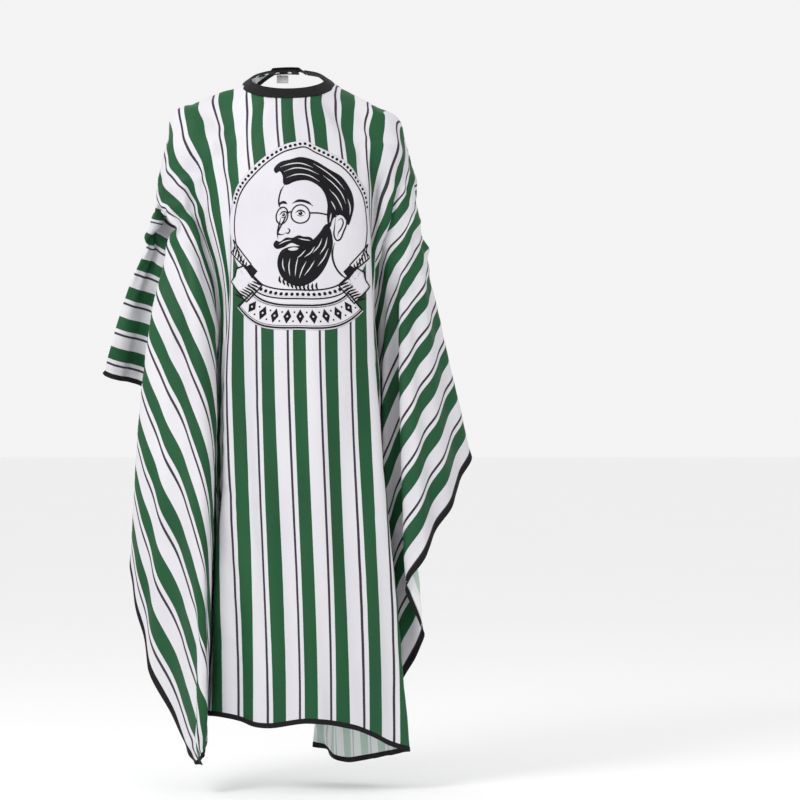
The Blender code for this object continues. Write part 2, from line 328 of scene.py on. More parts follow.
def simulate(cape, frames):
    """Lets the cloth settle round a body that is taken away afterwards."""
    arm = {side: SHOULDER[side] + Vector((-0.035 * side, 0.0, -0.045)) for side in (-1, 1)}
    lean = {-1: Vector(leaning(-15.0, 2.0).tolist()), 1: Vector(leaning(11.5, 2.0).tolist())}
    forms = [
        limb("neck_form", (0, 0.0, -0.14), (0, 0.0, 0.03), 0.055, 0.055),
        ball("chest_form", (0, 0.0, -0.270), (0.170, 0.100, 0.20)),
        ball("yoke_form", (0, 0.002, -0.125), (0.150, 0.066, 0.085)),
        limb("shoulder_form", (arm[-1].x, 0.0, -0.140), (arm[1].x, 0.0, -0.150), 0.052, 0.052),
        limb("right_slope_form", (-0.052, 0.005, -0.034), (-0.195, 0.002, -0.088), 0.030, 0.034),
        limb("left_slope_form", (0.052, 0.005, -0.034), (0.188, 0.002, -0.100), 0.030, 0.034),
        ball("hip_form", (0.01, 0.0, -0.640), (0.165, 0.100, 0.44)),
        limb("right_arm_form", arm[-1], arm[-1] + 0.47 * lean[-1], 0.048, 0.030),
        limb("left_arm_form", arm[1], arm[1] + 0.50 * lean[1], 0.048, 0.030),
    ]
    joined = bmesh.new()
    for form in forms:
        joined.from_mesh(form.data)
        discard(form)
    body = from_bmesh("body_form", joined)
    body.modifiers.new("collision", "COLLISION")
    put(body.collision, thickness_outer=0.004, cloth_friction=8)
    cloth = cape.modifiers.new("cloth", "CLOTH")
    put(cloth.settings, quality=6, mass=0.15, tension_stiffness=14, compression_stiffness=14, shear_stiffness=5,
        bending_stiffness=0.2, tension_damping=5, compression_damping=5, shear_damping=5, bending_damping=0.5,
        air_damping=3.0, vertex_group_mass="hold", pin_stiffness=1.0,
        rest_shape_key=cape.data.shape_keys.key_blocks["cut"])
    put(cloth.collision_settings, distance_min=0.005, collision_quality=3, use_self_collision=True,
        self_distance_min=0.004, self_friction=4)
    put(cloth.point_cache, frame_start=1, frame_end=frames)
    for frame_number in range(1, frames + 1):
        scene.frame_set(frame_number)
    done = cape.evaluated_get(bpy.context.evaluated_depsgraph_get())
    mesh = done.to_mesh()
    settled = np.zeros(3 * len(mesh.vertices))
    mesh.vertices.foreach_get("co", settled)
    done.to_mesh_clear()
    scene.frame_set(1)
    discard(body)
    return settled.reshape(-1, 3)


def hang():
    """The hanging place of each point of the cut."""
    start = drape(flat_u, flat_v)
    form = new_mesh("cape_form", start, quads)
    form.shape_key_add(name="Basis")
    rest = form.shape_key_add(name="cut")
    out = from_neck(flat_u, flat_v)
    fuller = 1 + 0.006 * (1 - smooth(out / 0.10)) / (NECK_CUT + out)
    flat = np.stack([flat_u * fuller, np.zeros_like(flat_u), -(flat_v - NECK_FROM_EDGE) * fuller], -1)
    rest.data.foreach_set("co", flat.ravel())
    rest.value = 0.0
    group = form.vertex_groups.new(name="hold")
    for index, weight in enumerate(held_at(flat_u, flat_v)):
        group.add([index], float(weight), "REPLACE")
    settled = simulate(form, SETTLE_FRAMES)
    discard(form)
    return settled


def ripples(u, v):
    """Small folds over the settled cloth, in metres along its normal."""
    out = from_neck(u, v)
    turn = np.arctan2(u, v - NECK_FROM_EDGE)
    gather = smooth((out - 0.010) / 0.03) * smooth((0.19 - out) / 0.17)
    pleats = np.sin(13 * turn + 0.6) + 0.7 * np.sin(19 * turn + 2.1)
    height = 0.0030 * gather * pleats
    front = smooth((SHOULDER_U - np.abs(u)) / 0.06) * smooth((v - 0.45) / 0.5)
    sway = 0.03 * np.sin(2.3 * v + 0.4)
    upright = 0.0042 * np.sin((u - sway) * 62 + 0.5) + 0.0032 * np.sin((u + sway) * 103 + 1.9)
    height += front * upright * (0.6 + 0.5 * v)
    level = np.exp(-((v - 0.76 + 0.08 * u) / 0.012) ** 2) * smooth((0.2 - np.abs(u)) / 0.1)
    height += front * 0.0016 * level
    for side in (-1, 1):
        across, _, angle, reach = from_shoulder(side, u, v)
        fanned = smooth(across / 0.05) * smooth(reach / 0.35)
        wave = np.sin(34 * angle + side) + 0.6 * np.sin(57 * angle + 2.2 * side) + 0.35 * np.sin(91 * angle)
        height += 0.0044 * fanned * wave * (0.5 + reach)
    crumple = np.sin(71 * u + 3 * np.sin(17 * v)) * np.sin(53 * v + 2 * np.sin(23 * u))
    return height + 0.0007 * smooth(out / 0.05) * crumple


def point_normals(points):
    total = np.zeros_like(points)
    a, b, c, d = (points[quads[:, k]] for k in range(4))
    facing = np.cross(c - a, d - b)
    for k in range(4):
        np.add.at(total, quads[:, k], facing)
    return total / np.linalg.norm(total, axis=1, keepdims=True)


hung = hang()
hung = hung + point_normals(hung) * ripples(flat_u, flat_v)[:, None]
# The wearer's left corner of the front hem hangs lowest.
lower = smooth((flat_u - 0.07) / 0.12) * smooth((flat_v - 0.75) / 0.65) * smooth((0.62 - flat_u) / 0.2)
hung[:, 2] -= 0.045 * lower


class Look:
    """A material and its node tree, with short ways to add nodes."""

    def __init__(self, name):
        self.material = bpy.data.materials.new(name)
        self.material.use_nodes = True
        self.tree = self.material.node_tree
        self.shader = self.tree.nodes["Principled BSDF"]

    def link(self, source, target):
        if isinstance(source, (int, float, tuple)):
            target.default_value = source
        else:
            self.tree.links.new(source, target)

    def node(self, kind, inputs=(), **settings):
        """A new node. inputs holds pairs of an input's index or name and what goes in."""
        made = self.tree.nodes.new("ShaderNode" + kind)
        put(made, **settings)
        for key, source in inputs:
            self.link(source, made.inputs[key])
        return made

    def math(self, operation, *values):
        return self.node("Math", enumerate(values), operation=operation).outputs[0]

    def mix(self, factor, a, b, blend="MIX"):
        return self.node("Mix", ((0, factor), (6, a), (7, b)), data_type="RGBA", blend_type=blend).outputs[2]

    def range(self, value, low, high, to_low=0.0, to_high=1.0):
        return self.node("MapRange", enumerate((value, low, high, to_low, to_high))).outputs[0]

    def axes(self, vector):
        return self.node("SeparateXYZ", ((0, vector),)).outputs

    def cut_place(self):
        """Where the point lies on the flat piece, in metres."""
        return self.node("UVMap", uv_map="cut").outputs[0]

    def noise(self, vector, scale, detail=3.0, rough=0.5):
        inputs = ("Vector", vector), ("Scale", scale), ("Detail", detail), ("Roughness", rough)
        return self.node("TexNoise", inputs).outputs["Fac"]

    def stretched(self, vector, scale):
        return self.node("Mapping", ((0, vector), ("Scale", scale))).outputs[0]

    def bump(self, height, strength, distance, *under):
        inputs = [("Strength", strength), ("Distance", distance), ("Height", height)]
        return self.node("Bump", inputs + [("Normal", normal) for normal in under]).outputs[0]

    def into(self, socket, source):
        self.link(source, self.shader.inputs[socket])


# Stripes across the cape. One repeat holds a green stripe, a wide white one, a
# thin dark line and a narrow white one, with the green stripe on the middle line.
REPEAT = 0.0625
GREEN_WIDTH, WHITE_WIDTH, LINE_WIDTH = 0.0255, 0.0250, 0.0045
EDGE_SOFT = 0.0003
THREAD = 0.00045


def weave(look, spot, pitch):
    """Height of a plain weave with that pitch, in metres."""
    x, y = look.axes(spot)[0:2]
    over = look.math("SINE", look.math("MULTIPLY", x, math.tau / pitch))
    under = look.math("SINE", look.math("MULTIPLY", y, math.tau / pitch))
    return look.math("MULTIPLY", over, under)


def creased(look, spot, strength, depth):
    """Soft creases over the cloth's weave. Returns the creases."""
    creases = look.noise(look.stretched(spot, (1.0, 0.5, 1.0)), 14.0, 4.0, 0.55)
    fine = look.bump(weave(look, spot, THREAD), strength, depth)
    look.into("Normal", look.bump(creases, 0.35, 0.010, fine))
    return creases


def cloth_look(name, printed):
    """The cloth's printed face, or its reverse, where the dye shows through palely."""
    look = Look(name)
    cut = look.cut_place()
    wander = look.noise(look.stretched(cut, (1.0, 0.25, 1.0)), 9.0)
    ripple = look.noise(cut, 260.0, 2.0)
    waver = look.math("MULTIPLY", look.math("SUBTRACT", ripple, 0.5), 0.0006)
    u = look.math("ADD", look.axes(cut)[0], waver)
    place = look.math("WRAP", look.math("ADD", u, 0.5 * GREEN_WIDTH), REPEAT, 0.0)

    def band(start, width):
        rise = look.range(place, start - EDGE_SOFT, start + EDGE_SOFT)
        fall = look.range(place, start + width - EDGE_SOFT, start + width + EDGE_SOFT, 1.0, 0.0)
        return look.math("MULTIPLY", rise, fall)

    green = band(0.0, GREEN_WIDTH)
    line = band(GREEN_WIDTH + WHITE_WIDTH, LINE_WIDTH)
    cloudy = look.range(wander, 0.3, 0.7)
    if printed:
        white = look.mix(cloudy, (0.61, 0.595, 0.635, 1), (0.69, 0.68, 0.71, 1))
        dye = look.mix(cloudy, (0.008, 0.066, 0.023, 1), (0.014, 0.094, 0.034, 1))
        ink = (0.030, 0.028, 0.036, 1)
    else:
        white = look.mix(cloudy, (0.70, 0.71, 0.72, 1), (0.76, 0.77, 0.775, 1))
        dye = look.mix(cloudy, (0.40, 0.52, 0.45, 1), (0.45, 0.57, 0.50, 1))
        ink = (0.46, 0.47, 0.49, 1)
    colour = look.mix(line, look.mix(green, white, dye), ink)
    fleck = look.noise(look.stretched(cut, (1.0, 0.2, 1.0)), 2200.0, 1.0)
    colour = look.mix(look.range(fleck, 0.3, 0.8, 0.0, 0.12), colour, (0.5, 0.5, 0.5, 1), "OVERLAY")
    look.into("Base Color", colour)
    creases = creased(look, cut, 0.35, 0.00006)
    look.into("Roughness", look.range(creases, 0.3, 0.7, 0.46, 0.60))
    look.into("Sheen Weight", 0.03)
    look.into("Sheen Roughness", 0.35)
    look.into("Specular IOR Level", 0.20)
    return look.material


printed_face = cloth_look("cloth_print", True)
reverse_face = cloth_look("cloth_reverse", False)

# The cloth
cape = new_mesh("cape_drape", hung, quads)
uv_layer = cape.data.uv_layers.new(name="cut")
corner_vertex = np.zeros(len(cape.data.loops), np.int32)
cape.data.loops.foreach_get("vertex_index", corner_vertex)
uv_layer.data.foreach_set("uv", np.stack([flat_u, flat_v], -1)[corner_vertex].astype(np.float32).ravel())
cape.data.shade_smooth()
for material in (printed_face, reverse_face):
    cape.data.materials.append(material)
put(cape.modifiers.new("finer", "SUBSURF"), levels=1, render_levels=1)
put(cape.modifiers.new("thickness", "SOLIDIFY"), thickness=CLOTH_THICK, offset=0.0, material_offset=1)
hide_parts("cape_cloth")
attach(cape, CAPE)

# The hung surface

def whole_grid():
    """Places of the full grid, with the cells of the neck hole filled in."""
    places = drape(cut_u.ravel(), cut_v.ravel())
    places[used] = hung
    return places.reshape(ROWS, COLUMNS, 3)


def spline_ends(grid):
    """The grid with one more row and column on each side, mirrored through its edge."""
    grid = np.concatenate([2 * grid[:1] - grid[1:2], grid, 2 * grid[-1:] - grid[-2:-1]])
    left, right = 2 * grid[:, :1] - grid[:, 1:2], 2 * grid[:, -1:] - grid[:, -2:-1]
    return np.concatenate([left, grid, right], axis=1)


def halved(grid):
    """The smooth surface at every grid point and halfway between them, along axis 0."""
    at_point = (grid[:-2] + 4 * grid[1:-1] + grid[2:]) / 6
    between = (grid[:-3] + 23 * grid[1:-2] + 23 * grid[2:-1] + grid[3:]) / 48
    both = np.empty((2 * len(at_point) - 1,) + grid.shape[1:])
    both[0::2], both[1::2] = at_point, between
    return both


def surface_normals(lattice):
    across, down = np.gradient(lattice, axis=1), np.gradient(lattice, axis=0)
    normal = np.cross(down, across)
    return normal / np.maximum(np.linalg.norm(normal, axis=-1, keepdims=True), 1e-12)


LATTICE = halved(halved(spline_ends(whole_grid())).swapaxes(0, 1)).swapaxes(0, 1)
NORMALS = surface_normals(LATTICE)


def on_lattice(row, column):
    """Place and normal of the cloth at fractional grid coordinates."""
    row = np.clip(2 * np.asarray(row, float), 0, 2 * ROWS - 2 - 1e-6)
    column = np.clip(2 * np.asarray(column, float), 0, 2 * COLUMNS - 2 - 1e-6)
    i, j = row.astype(int), column.astype(int)
    a, b = (row - i)[..., None], (column - j)[..., None]

    def blend(field):
        return ((1 - a) * ((1 - b) * field[i, j] + b * field[i, j + 1])
                + a * ((1 - b) * field[i + 1, j] + b * field[i + 1, j + 1]))

    normal = blend(NORMALS)
    return blend(LATTICE), normal / np.linalg.norm(normal, axis=-1, keepdims=True)


def on_cloth(u, v, lift):
    """A point at that height over the printed face, by its place on the cut."""
    row = np.interp(v, lines_v, np.arange(ROWS))
    column = np.interp(u, lines_u, np.arange(COLUMNS))
    place, normal = on_lattice(row, column)
    return place + normal * lift


# Tape, thread and metal

def toned(colour, gain, lift=0.0):
    return tuple(min(1.0, gain * c + lift) for c in colour[:3]) + (1,)


def tape_look(name, colour, rough, twill=0.0011, across=1.0):
    """Woven tape: ribs at a slant over a fine weave, with painted sheen making them a little paler on their crowns.
    """
    look = Look(name)
    spot = look.cut_place()
    x, y = look.axes(spot)[0:2]
    slant = look.math("ADD", x, look.math("MULTIPLY", y, across))
    ribs = look.math("SINE", look.math("MULTIPLY", slant, math.tau / twill))
    threads = weave(look, spot, 0.0005)
    lint = look.noise(spot, 900.0, 2.0)
    shade = look.noise(spot, 22.0, 2.0)
    # Painted sheen: the crowns of the ribs are drawn paler where light would catch them, varied by a noise.
    painted_sheen = look.math("MULTIPLY", look.range(ribs, 0.2, 1.0, 0.0, 0.45), look.range(shade, 0.35, 0.7))
    speck = look.range(lint, 0.66, 0.72, 0.0, 0.25)
    tone = look.mix(painted_sheen, colour, toned(colour, 2.0, 0.006))
    look.into("Base Color", look.mix(speck, tone, toned(colour, 3, 0.02)))
    fine = look.bump(threads, 0.4, 0.00008)
    look.into("Normal", look.bump(ribs, 0.5, 0.00015, fine))
    look.into("Roughness", look.range(shade, 0.3, 0.7, rough - 0.06, rough + 0.08))
    look.into("Specular IOR Level", 0.14)
    return look.material


def metal_look(name, colour, metallic, rough):
    """Pressed metal or its enamel: turned marks, small scratches, dulled edges."""
    look = Look(name)
    look.into("Metallic", metallic)
    spot = look.node("TexCoord").outputs["Object"]
    marks = look.noise(look.stretched(spot, (1.0, 1.0, 6.0)), 1400.0, 3.0)
    scratch = look.noise(look.stretched(spot, (1.0, 14.0, 1.0)), 500.0, 2.0)
    edge = look.range(look.node("NewGeometry").outputs["Pointiness"], 0.52, 0.60)
    rubbed = look.math("MULTIPLY", edge, look.range(marks, 0.35, 0.65))
    tone = look.mix(look.range(scratch, 0.58, 0.75, 0.0, 0.6), colour, toned(colour, 0.6))
    look.into("Base Color", look.mix(rubbed, tone, toned(colour, 1.25, 0.06)))
    look.into("Roughness", look.range(marks, 0.3, 0.7, rough - 0.05, rough + 0.12))
    look.into("Normal", look.bump(scratch, 0.15, 0.00003))
    return look.material


black_tape = tape_look("black_tape", (0.0085, 0.0085, 0.0095, 1), 0.62)
neck_tape = tape_look("neck_tape", (0.0075, 0.0075, 0.0085, 1), 0.58, twill=0.0014, across=0.0)
label_tape = tape_look("label_tape", (0.74, 0.74, 0.72, 1), 0.72, twill=0.0009, across=0.0)
black_thread = tape_look("black_thread", (0.020, 0.020, 0.023, 1), 0.50, twill=0.0005)
white_thread = tape_look("white_thread", (0.70, 0.70, 0.68, 1), 0.60, twill=0.0005)
stud_metal = metal_look("stud_metal", (0.62, 0.62, 0.63, 1), 1.0, 0.26)
cap_enamel = metal_look("cap_enamel", (0.012, 0.012, 0.013, 1), 0.0, 0.24)


def dressed(piece, material):
    piece.data.shade_smooth()
    piece.data.materials.append(material)
    return piece


def tube(name, rings, spots, material):
    """Closed sections joined into one skin. spots are each corner's (along, across)."""
    count, sides = len(rings), len(rings[0])
    points = np.asarray(rings, float).reshape(-1, 3)
    faces = [(k + i, k + (i + 1) % sides, k + sides + (i + 1) % sides, k + sides + i)
             for k in range(0, (count - 1) * sides, sides) for i in range(sides)]
    faces += [tuple(range(sides))[::-1], tuple((count - 1) * sides + i for i in range(sides))]
    piece = new_mesh(name, points, faces)
    bm = bmesh.new()
    bm.from_mesh(piece.data)
    bmesh.ops.recalc_face_normals(bm, faces=bm.faces)
    layer = bm.loops.layers.uv.new("cut")
    for face in bm.faces:
        rows = [loop.vert.index % sides for loop in face.loops]
        wraps = 0 in rows and sides - 1 in rows and len(face.verts) == 4
        for loop, row in zip(face.loops, rows):
            ring = loop.vert.index // sides
            across = spots[1][sides] if wraps and row == 0 else spots[1][row]
            loop[layer].uv = (spots[0][ring], across)
    bm.to_mesh(piece.data)
    bm.free()
    return dressed(piece, material)


def looped(points):
    return np.concatenate([points, points[:1]])


def closer(line, step):
    """The same line with points no further apart than a step."""
    line = np.asarray(line, float)
    points = [line[:1]]
    for a, b in zip(line, line[1:]):
        parts = max(1, math.ceil(math.hypot(*(b - a)) / step))
        points.append(a + (b - a) * np.arange(1, parts + 1)[:, None] / parts)
    return np.concatenate(points)


def run_length(points):
    """Distance along a line at each of its points."""
    steps = np.linalg.norm(np.diff(np.asarray(points, float), axis=0), axis=1)
    return np.concatenate([[0.0], np.cumsum(steps)])


def stitches(name, line, normals, pitch, length, radius, material):
    """Sewing thread: one short bowed stitch after another along a line on a surface."""
    line, normals = np.asarray(line, float), np.asarray(normals, float)
    reach = run_length(line)
    starts = np.arange(0.5 * pitch, reach[-1] - pitch, pitch)
    bm = bmesh.new()
    for start in starts:
        at = start + length * np.array([0.0, 0.18, 0.5, 0.82, 1.0])
        spine = np.stack([np.interp(at, reach, line[:, k]) for k in range(3)], -1)
        up = np.stack([np.interp(at, reach, normals[:, k]) for k in range(3)], -1)
        ahead = spine[-1] - spine[0]
        ahead /= np.linalg.norm(ahead)
        rings = []
        for place, out, lift, thick in zip(spine, up, (-0.9, 0.1, 0.35, 0.1, -0.9), (0.5, 0.9, 1.0, 0.9, 0.5)):
            side = np.cross(ahead, out)
            side /= np.linalg.norm(side)
            base = place + out * lift * radius
            rings.append([bm.verts.new(base + radius * thick * (side * a + out * b))
                          for a, b in ((1, 0), (0.5, 0.8), (-0.5, 0.8), (-1, 0), (0, -0.7))])
        for ring, following in zip(rings, rings[1:]):
            for i in range(5):
                bm.faces.new((ring[i], ring[(i + 1) % 5], following[(i + 1) % 5], following[i]))
        bm.faces.new(rings[0][::-1])
        bm.faces.new(rings[-1])
    bmesh.ops.recalc_face_normals(bm, faces=bm.faces)
    layer = bm.loops.layers.uv.new("cut")
    for face in bm.faces:
        for loop in face.loops:
            loop[layer].uv = (loop.vert.co.x, loop.vert.co.z)
    piece = dressed(from_bmesh(name, bm), material)
    return piece


TAPE_HALF = 0.0009            # half of the folded edge tape's thickness


def edge_route():
    """Grid coordinates of the cloth's edge and of the tape's inner edge, all round."""
    at_top = [j for j in range(COLUMNS) if corner_of_kept[0, j] == 2]
    end, last = COLUMNS - 1, ROWS - 1
    turns = ((0, max(j for j in at_top if cut_u[0, j] < 0)), (0, 0), (last, 0), (last, end), (0, end),
             (0, min(j for j in at_top if cut_u[0, j] > 0)))
    outer = closer(turns, 0.5)
    return outer, np.clip(outer, 1, (last - 1, end - 1))


def edge_tape():
    """Black tape folded over the whole edge of the cloth, and its row of stitches."""
    outer, inner = edge_route()
    edge, edge_up = on_lattice(outer[:, 0], outer[:, 1])
    within, within_up = on_lattice(inner[:, 0], inner[:, 1])
    away = edge - within
    away /= np.linalg.norm(away, axis=1, keepdims=True)
    # Half of the tape's section: share of the way in, height, bulge past the edge
    face = ((1.00, 0.45, 0.0), (0.93, 0.85, 0.0), (0.70, 1.00, 0.0), (0.35, 1.10, 0.0), (0.08, 1.00, 0.0),
            (0.0, 0.75, 0.55), (0.0, 0.25, 0.85))
    rings = []
    for t, height, out in face + tuple((t, -h, o) for t, h, o in face[::-1]):
        up = edge_up * (1 - t) + within_up * t
        rings.append(edge + (within - edge) * t + TAPE_HALF * (up * height + away * out))
    rings = np.stack(rings, 1)
    along = run_length(edge)
    around = run_length(looped(rings[len(rings) // 2]))
    tape = tube("edge_tape", rings, (along, around), black_tape)
    up = edge_up * 0.2 + within_up * 0.8
    line = edge + (within - edge) * 0.80 + up * TAPE_HALF * 1.02
    thread = stitches("edge_stitching", line, up, 0.0034, 0.0026, 0.00022, black_thread)
    return tape, thread


hem, hem_thread = edge_tape()
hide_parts("edge_binding")

# Neck band and tab

def band_strip(name, first, last, step, half, rise):
    """A flat tape round the band's cone, rounded at its edges and a little full."""
    # Half of the tape's section: share of its width, height
    across = ((0.0, 0.0), (0.010, 0.55), (0.035, 0.85), (0.09, 0.95), (0.16, 0.88), (0.3, 1.0), (0.5, 1.0),
              (0.7, 1.0), (0.84, 0.88), (0.91, 0.95), (0.965, 0.85), (0.990, 0.55), (1.0, 0.0))
    profile = [(t * BAND_WIDTH, h) for t, h in across] + [(t * BAND_WIDTH, -h) for t, h in across[-2:0:-1]]
    turns = np.radians(np.arange(first, last + 0.5 * step, step))
    rings = []
    for turn in turns:
        lift = rise(math.degrees(turn))
        full = half + half * math.sin(9.0 * turn) * 0.15
        rings.append([on_band(turn, along, lift + h * full) for along, h in profile])
    middle = [on_band(turn, 0.5 * BAND_WIDTH) for turn in turns]
    around = run_length(looped(rings[0]))
    return tube(name, rings, (run_length(middle), around), neck_tape)


def band_stitches(name, first, last, along, out, rise):
    """A row of stitches round the band or the tab, on its outer or inner face."""
    turns = np.radians(np.arange(first, last, 1.0))
    place = np.array([on_band(t, along, out + rise(math.degrees(t))) for t in turns])
    upward = np.array([on_band(t, along, 1.0) - on_band(t, along, 0.0) for t in turns])
    return stitches(name, place, upward * np.sign(out), 0.0032, 0.0024, 0.00020, black_thread)


# The tab, as the CAD has it: half its thickness, its height over the band, the
# degrees in which it climbs there, and its ends. Then the ends of the band.
TAB_HALF, TAB_LIFT, TAB_RAMP, TAB_FROM, TAB_TO = 0.0008, 0.0052, 9.0, 157.8, 205.8
BAND_FROM, BAND_TO = -192, 156
UPPER_ROW, LOWER_ROW = 0.0022, BAND_WIDTH - 0.0030


def level(degrees):
    return 0.0


def tab_rise(degrees):
    t = min(max((degrees - TAB_FROM) / TAB_RAMP, 0.0), 1.0)
    return TAB_LIFT * t * t * (3 - 2 * t)


band = band_strip("neck_tape", BAND_FROM, BAND_TO, 2.0, BAND_HALF, level)
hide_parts("neck_band", "band_interlining")
tab = band_strip("tab_tape", TAB_FROM, TAB_TO, 1.0, TAB_HALF, tab_rise)
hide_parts("closure_tab")
threads = [band_stitches(f"band_stitching_{row}", BAND_FROM + 2, BAND_TO - 2, along, out * BAND_HALF, level)
           for row, along, out in (("upper", UPPER_ROW, 0.86), ("lower", LOWER_ROW, 0.9), ("inner", LOWER_ROW, -0.9))]
tab_threads = [band_stitches(f"tab_stitching_{row}", TAB_FROM + 1.5, TAB_TO - 1.5, along, 0.9 * TAB_HALF, tab_rise)
               for row, along in (("upper", UPPER_ROW), ("lower", LOWER_ROW))]


def care_label():
    """A blank woven label, doubled over at its lower end and sewn in at the top."""
    low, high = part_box("care_label")
    face = 0.5 * (low + high)
    turn = math.radians(-171)
    across = Vector((math.cos(turn), math.sin(turn), 0.0))
    out = Vector((math.sin(turn), -math.cos(turn), 0.0))
    half_width, height, half = 0.0118, high.z - low.z, 0.00035
    rings = []
    for k in range(25):
        s = (k / 24 - 0.5) * 2
        curl = 0.0010 * (s * s - 0.4)
        section = [(1.0, half), (0.6, half * 1.5), (0.25, half * 1.9), (0.05, half * 1.6), (0.0, 0.0),
                   (0.05, -half * 1.6), (0.25, -half * 1.9), (0.6, -half * 1.5), (1.0, -half)]
        rings.append([face + across * (s * half_width) + out * (h + curl * (1 - t))
                      + Vector((0, 0, (t - 0.5) * height)) for t, h in section])
    spots = (np.linspace(0, 2 * half_width, 25), run_length(looped(rings[0])))
    piece = tube("care_label_folded", rings, spots, label_tape)
    line = [face + across * (s * half_width * 0.92) + out * half * 1.2 + Vector((0, 0, 0.40 * height))
            for s in np.linspace(-1, 1, 30)]
    thread = stitches("label_stitching", line, [out] * 30, 0.0028, 0.0020, 0.00014, white_thread)
    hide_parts("care_label")
    return piece, thread


label_piece, label_thread = care_label()

for node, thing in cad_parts.items():
    if not thing.hide_render:
        for place in thing.material_slots:
            place.material = cap_enamel if node.startswith("snap_cap") else stud_metal

for piece in [hem, hem_thread, band, label_piece, label_thread] + threads:
    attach(piece, CAPE)
for piece in [tab] + tab_threads:
    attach(piece, TAB)

# The print, drawn on the cut in millimetres from the middle of its ring, x to the wearer's
# left and y up. The head, the ribbon and the borders are a design of their own.
PRINT_AT = (0.002, 0.413)
PRINT_WHITE, PRINT_INK, PRINT_DETAIL = 0.0010, 0.0014, 0.0018    # heights over the cloth
INK_THICK = 0.00015
RING = 139.0                  # radius of the ring's line


def on_print(points, lift):
    """Points of the print on the cloth. Its upper half leans to the wearer's left."""
    points = np.asarray(points, float) / 1000
    lean = 0.09 * (points[:, 1] + np.hypot(points[:, 1], 0.030))
    return on_cloth(PRINT_AT[0] + points[:, 0] + lean, PRINT_AT[1] - points[:, 1], lift)


def curved(points, closed=True, parts=5):
    """A smooth line through given points."""
    points = np.asarray(points, float)
    if closed:
        around = np.concatenate([points[-1:], points, points[:2]])
    else:
        around = np.concatenate([2 * points[:1] - points[1:2], points, 2 * points[-1:] - points[-2:-1]])
    line = []
    for a, b, c, d in zip(around, around[1:], around[2:], around[3:]):
        for t in np.arange(parts) / parts:
            line.append(0.5 * (2 * b + (c - a) * t + (2 * a - 5 * b + 4 * c - d) * t ** 2
                               + (3 * b - a - 3 * c + d) * t ** 3))
    if not closed:
        line.append(points[-1])
    return np.array(line)


def arc(radius, first, last, centre=(0, 0), step=2.0, squash=1.0):
    turns = np.radians(np.linspace(first, last, max(3, int(abs(last - first) / step) + 1)))
    return np.stack([centre[0] + radius * np.cos(turns) * squash, centre[1] + radius * np.sin(turns)], -1)


def crowned(radius, first, last, step=1.5):
    """An arc of the ring, with the small point at its top."""
    degrees = np.linspace(first, last, int(abs(last - first) / step) + 1)
    from_top = (degrees - 90 + 180) % 360 - 180
    lengths = radius + 6.0 * np.exp(-(from_top / 6.0) ** 2)
    turns = np.radians(degrees)
    return np.stack([lengths * np.cos(turns), lengths * np.sin(turns)], -1)


class Sheet:
    """Flat shapes gathered into one thin printed layer that follows the cloth."""

    def __init__(self):
        self.points, self.faces = [], []
        self.origin = (0.0, 0.0)

    def add(self, points, faces):
        start = len(self.points)
        self.points += [(p[0] + self.origin[0], p[1] + self.origin[1]) for p in points]
        self.faces += [tuple(start + i for i in face) for face in faces]

    def fill(self, outline, cell=5.0):
        outline = closer(looped(outline), cell)[:-1]
        low, high = outline.min(0), outline.max(0)
        inside = []
        nxt = np.roll(outline, -1, axis=0)
        for x in np.arange(low[0] + 0.5 * cell, high[0], cell):
            for y in np.arange(low[1] + 0.5 * cell, high[1], cell):
                crosses = (outline[:, 1] > y) != (nxt[:, 1] > y)
                rise = np.where(crosses, nxt[:, 1] - outline[:, 1], 1.0)
                at = outline[:, 0] + (y - outline[:, 1]) / rise * (nxt[:, 0] - outline[:, 0])
                clear = np.hypot(outline[:, 0] - x, outline[:, 1] - y).min() > 0.35 * cell
                if clear and np.count_nonzero(crosses & (at > x)) % 2:
                    inside.append((x, y))
        spots = [Vector(p) for p in outline.tolist() + inside]
        made = delaunay_2d_cdt(spots, [], [list(range(len(outline)))], 1, 1e-4)
        self.add([tuple(p) for p in made[0]], made[2])

    def stroke(self, line, width, taper=True):
        line = closer(line, 4.0)
        ahead = np.gradient(line, axis=0)
        ahead /= np.maximum(np.linalg.norm(ahead, axis=1, keepdims=True), 1e-9)
        side = np.stack([-ahead[:, 1], ahead[:, 0]], -1)
        reach = run_length(line)
        share = reach / reach[-1]
        half = 0.5 * width * (np.clip(4 * np.minimum(share, 1 - share), 0.25, 1) if taper else np.ones(len(line)))
        left, right = line + side * half[:, None], line - side * half[:, None]
        count = len(line)
        self.add(np.concatenate([left, right]),
                 [(i, count + i, count + i + 1, i + 1) for i in range(count - 1)])

    def dot(self, centre, radius, sides=12):
        turns = np.arange(sides) * math.tau / sides
        rim = np.stack([centre[0] + radius * np.cos(turns), centre[1] + radius * np.sin(turns)], -1)
        self.add(rim, [tuple(range(sides))])

    def print(self, name, lift, material):
        piece = new_mesh(name, on_print(self.points, lift), self.faces)
        bm = bmesh.new()
        bm.from_mesh(piece.data)
        layer = bm.loops.layers.uv.new("cut")
        outward = sum((face.normal * face.calc_area() for face in bm.faces), Vector())
        for face in bm.faces:
            if face.normal.dot(outward) < 0:
                face.normal_flip()
            for loop in face.loops:
                x, y = self.points[loop.vert.index]
                loop[layer].uv = (PRINT_AT[0] + x / 1000, PRINT_AT[1] - y / 1000)
        bm.to_mesh(piece.data)
        bm.free()
        dressed(piece, material)
        put(piece.modifiers.new("thickness", "SOLIDIFY"), thickness=INK_THICK, offset=-1.0)
        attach(piece, CAPE)
        return piece


